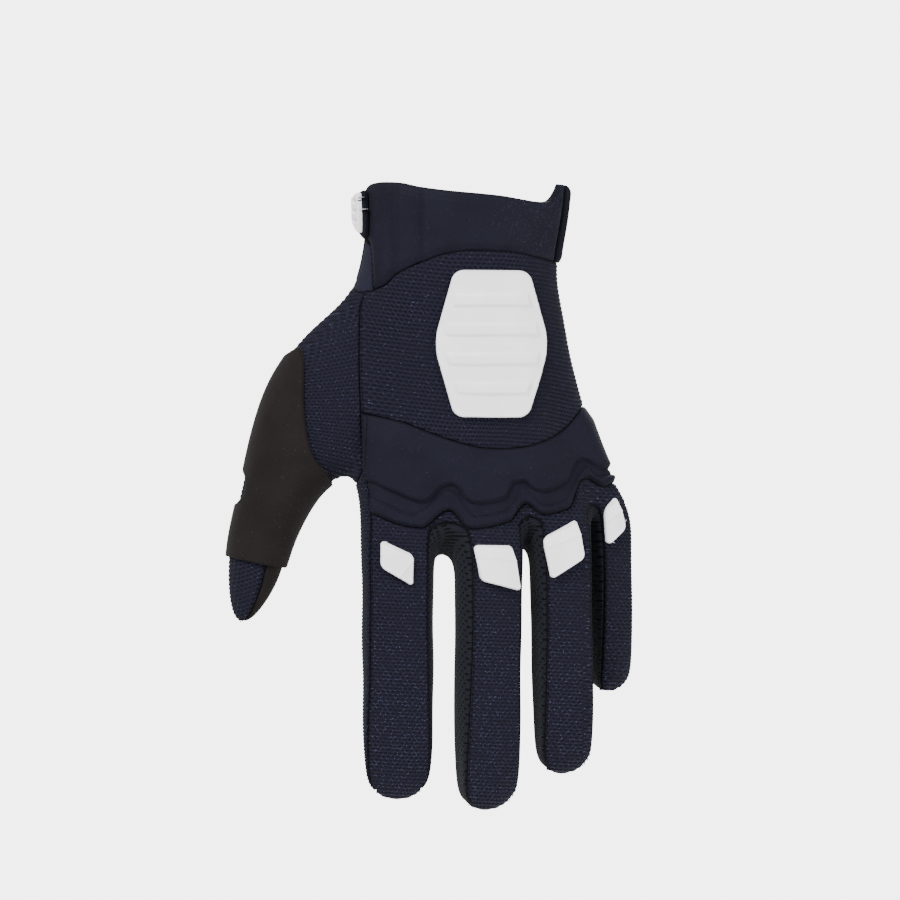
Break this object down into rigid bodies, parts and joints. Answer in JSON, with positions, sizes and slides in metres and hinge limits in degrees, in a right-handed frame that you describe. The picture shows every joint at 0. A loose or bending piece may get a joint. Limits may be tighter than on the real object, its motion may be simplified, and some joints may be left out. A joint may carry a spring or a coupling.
{
  "type": "motocross glove",
  "caption": "Left-hand motocross glove in ribbed knit with a padded knuckle guard, rubber finger guards, a suede palm and a strap-closed cuff, shaped as worn.",
  "frame": {"origin": "centre of the cuff's mouth, where a wrist enters the glove", "axes": "+Z out of the cuff along the wrist, so the fingers hang towards -Z; -Y is the back of the hand, +Y the palm; -X is the thumb's side"},
  "size_m": [0.1415, 0.0574, 0.2159],
  "materials": {
    "navy_knit": "ribbed stretch knit, matt",
    "black_mesh": "perforated stretch mesh, matt",
    "brown_black_suede": "brushed synthetic suede",
    "navy_neoprene": "smooth moulded foam-backed cloth",
    "white_rubber": "satin moulded rubber",
    "black_webbing": "close-woven binding and strap"
  },
  "bodies": {
    "root": {"back_panel": "navy_knit", "back_plate": "white_rubber", "closure_pad": "black_webbing", "cuff_back": "navy_neoprene", "cuff_binding": "black_webbing", "cuff_front": "navy_neoprene", "cuff_insert": "navy_neoprene", "finger_backs": "navy_knit", "guard_index": "white_rubber", "guard_little": "white_rubber", "guard_middle": "white_rubber", "guard_ring": "white_rubber", "index_side": "navy_knit", "knuckle_pad": "navy_neoprene", "little_side": "navy_knit", "palm": "brown_black_suede", "sidewall_index_middle": "black_mesh", "sidewall_middle_ring": "black_mesh", "sidewall_ring_little": "black_mesh", "strap_tab": "white_rubber", "thumb_back": "navy_knit", "thumb_front": "brown_black_suede", "thumb_gusset": "navy_knit", "thumb_patch": "brown_black_suede", "wrist_strap": "black_webbing"}
  },
  "joints": []
}
